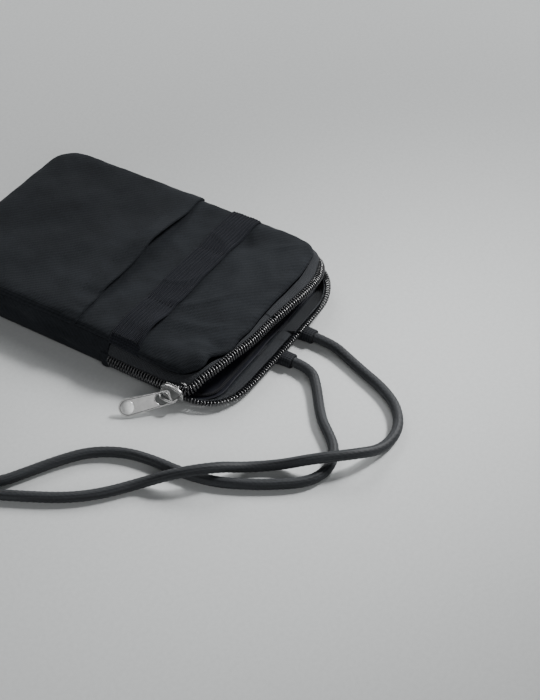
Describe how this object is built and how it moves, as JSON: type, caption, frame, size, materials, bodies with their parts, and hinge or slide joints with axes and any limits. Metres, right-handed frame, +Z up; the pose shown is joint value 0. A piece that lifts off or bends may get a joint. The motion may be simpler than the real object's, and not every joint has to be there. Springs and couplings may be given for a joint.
{
  "type": "neck pouch wallet",
  "caption": "Flat fabric neck pouch with a zip round its mouth, a slip pocket and elastic on the front, a slider with a pull, and a round neck cord.",
  "frame": {"origin": "centre of the back panel's flat outer face, which the pouch lies on", "axes": "+Z up out of the front panel, +Y towards the zip mouth, +X towards the side with the slider"},
  "size_m": [0.2535, 0.2486, 0.0201],
  "materials": {
    "pouch_fabric": "dyed woven polyester, matt with a soft sheen",
    "lining": "smooth taffeta lining",
    "binding": "woven bias binding",
    "elastic": "ribbed woven elastic",
    "thread": "polyester sewing thread",
    "zip_coil": "polyester coil, slightly glossy",
    "zip_tape": "woven zip tape",
    "nickel": "nickel-plated zinc",
    "webbing": "narrow woven ribbon",
    "cord_braid": "round braided polyester cord"
  },
  "bodies": {
    "pouch": {"back_panel": "pouch_fabric", "back_lining": "lining", "front_panel": "pouch_fabric", "front_lining": "lining", "side_gusset": "pouch_fabric", "gusset_lining": "lining", "back_seam_binding": "binding", "front_seam_binding": "binding", "pocket_panel": "pouch_fabric", "pocket_hem": "pouch_fabric", "elastic_band": "elastic", "elastic_tacks": "thread", "front_coil_slider_side": "zip_coil", "rear_coil_slider_side": "zip_coil", "front_coil_far_side": "zip_coil", "rear_coil_far_side": "zip_coil", "front_tape_slider_side": "zip_tape", "rear_tape_slider_side": "zip_tape", "front_tape_far_side": "zip_tape", "rear_tape_far_side": "zip_tape", "zip_end_fold_slider_side": "pouch_fabric", "zip_end_fold_far_side": "pouch_fabric", "cord_tab_left": "webbing", "cord_tab_right": "webbing", "neck_cord_run_a": "cord_braid", "neck_cord_run_b": "cord_braid", "neck_cord_coil": "cord_braid"},
    "slider": {"slider_body": "nickel"},
    "pull": {"pull_tab": "nickel"},
    "front_lip": {"front_lip_tape": "zip_tape", "front_lip_coil": "zip_coil"},
    "rear_lip": {"rear_lip_tape": "zip_tape", "rear_lip_coil": "zip_coil"}
  },
  "joints": [
    {"name": "slider_travel", "type": "slide", "parent": "pouch", "child": "slider", "axis": [0, -1, 0], "range_m": [0, 0.03]},
    {"name": "pull_swing", "type": "hinge", "parent": "slider", "child": "pull", "pos_m": [0.06475, 0.0623, 0.0058], "axis": [0, 0, 1], "range_deg": [0, 60]},
    {"name": "front_lip_fold", "type": "hinge", "parent": "pouch", "child": "front_lip", "pos_m": [0, 0.0795, 0.015], "axis": [1, 0, 0], "range_deg": [-35, 60], "stiffness_Nm_per_rad": 0.004},
    {"name": "rear_lip_fold", "type": "hinge", "parent": "pouch", "child": "rear_lip", "pos_m": [0, 0.0835, 0.0018], "axis": [1, 0, 0], "range_deg": [0, 55], "stiffness_Nm_per_rad": 0.004}
  ]
}
